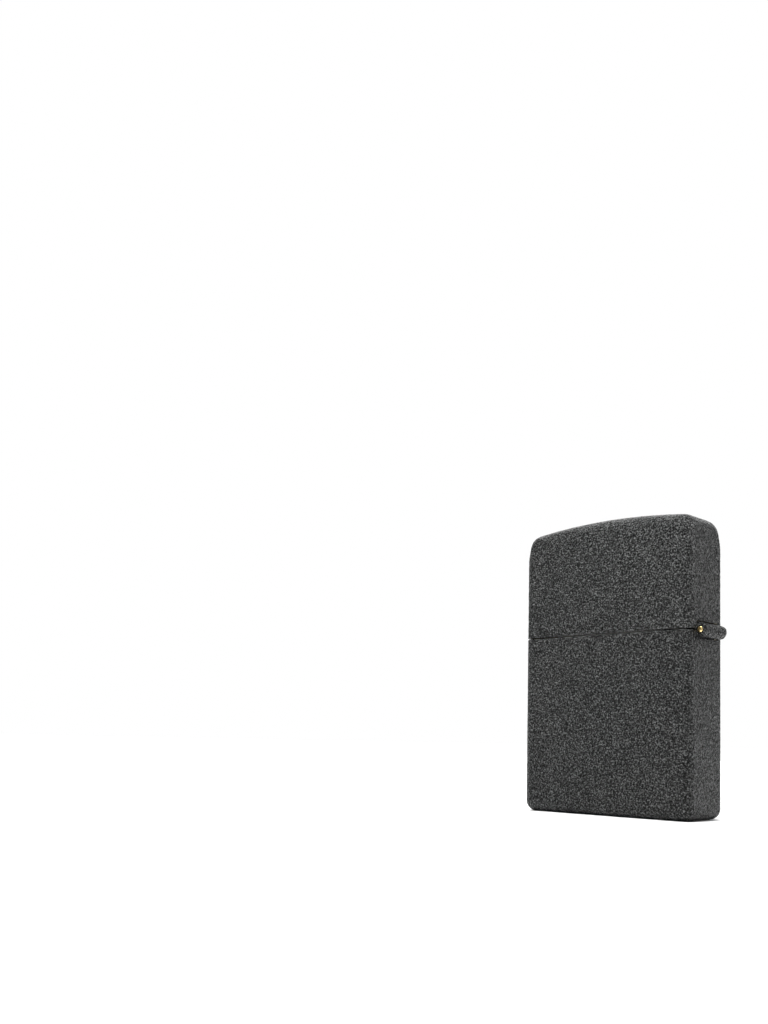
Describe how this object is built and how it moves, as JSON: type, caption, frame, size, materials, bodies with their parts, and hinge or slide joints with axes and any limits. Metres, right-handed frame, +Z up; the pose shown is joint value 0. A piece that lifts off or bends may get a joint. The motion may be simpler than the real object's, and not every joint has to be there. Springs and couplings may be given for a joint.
{
  "type": "flip-top windproof lighter",
  "caption": "Flip-top windproof pocket lighter with a hinged lid, lift-out insert, vented windscreen, spark wheel, wick and spring-loaded flint.",
  "frame": {"origin": "centre of the flat bottom of the can, where the closed lighter stands", "axes": "+Z up through the lid, +X towards the hinge, -Y out of the front face"},
  "size_m": [0.0386, 0.013, 0.0572],
  "materials": {
    "crackle_coat": "black crackle powder coat over brass, satin",
    "hinge_brass": "plain brass, slightly tarnished",
    "stainless": "brushed stainless sheet",
    "spring_steel": "plain spring steel",
    "hard_steel": "dark hardened steel, cut teeth",
    "tube_brass": "drawn brass tube and turned brass",
    "flint": "sintered cerium-iron alloy, matte",
    "wick_cotton": "woven cotton and glass yarn with fine copper wire",
    "cotton_balls": "loose absorbent fibre",
    "felt": "pressed wool felt"
  },
  "bodies": {
    "case_and_insert": {"bottom_case": "crackle_coat", "lower_hinge_leaf": "crackle_coat", "hinge_pin": "hinge_brass", "insert_tank": "stainless", "chimney": "stainless", "cam_rivet": "stainless", "cam_spring": "spring_steel", "cam_spring_rivet": "tube_brass", "wheel_rivet": "stainless", "flint_tube": "tube_brass", "flint": "flint", "flint_plunger": "tube_brass", "wick": "wick_cotton", "packing": "cotton_balls", "felt_pad": "felt"},
    "lid": {"lid": "crackle_coat", "upper_hinge_leaf": "crackle_coat"},
    "cam": {"cam": "stainless"},
    "flint_wheel": {"flint_wheel": "hard_steel"},
    "flint_spring": {"flint_spring": "spring_steel"},
    "flint_screw": {"flint_screw": "tube_brass"}
  },
  "joints": [
    {"name": "lid_hinge", "type": "hinge", "parent": "case_and_insert", "child": "lid", "pos_m": [0.01895, 0, 0.0346], "axis": [0, 1, 0], "range_deg": [0, 115]},
    {"name": "cam_pivot", "type": "hinge", "parent": "case_and_insert", "child": "cam", "pos_m": [0.0136, 0, 0.0386], "axis": [0, 1, 0], "range_deg": [0, 46.5]},
    {"name": "flint_wheel_spin", "type": "hinge", "parent": "case_and_insert", "child": "flint_wheel", "pos_m": [-0.0096, 0, 0.0466], "axis": [0, 1, 0], "continuous": true},
    {"name": "flint_screw_travel", "type": "slide", "parent": "case_and_insert", "child": "flint_spring", "axis": [0, 0, -1], "range_m": [0, 0.00075]},
    {"name": "flint_screw_turn", "type": "hinge", "parent": "flint_spring", "child": "flint_screw", "pos_m": [-0.0096, 0, 0.002], "axis": [0, 0, -1], "range_deg": [0, 540.01]}
  ],
  "couplings": [
    {"joint": "cam_pivot", "follows": "lid_hinge", "ratio": 0.4},
    {"joint": "flint_screw_turn", "follows": "flint_screw_travel", "rad_per_m": 12566}
  ]
}
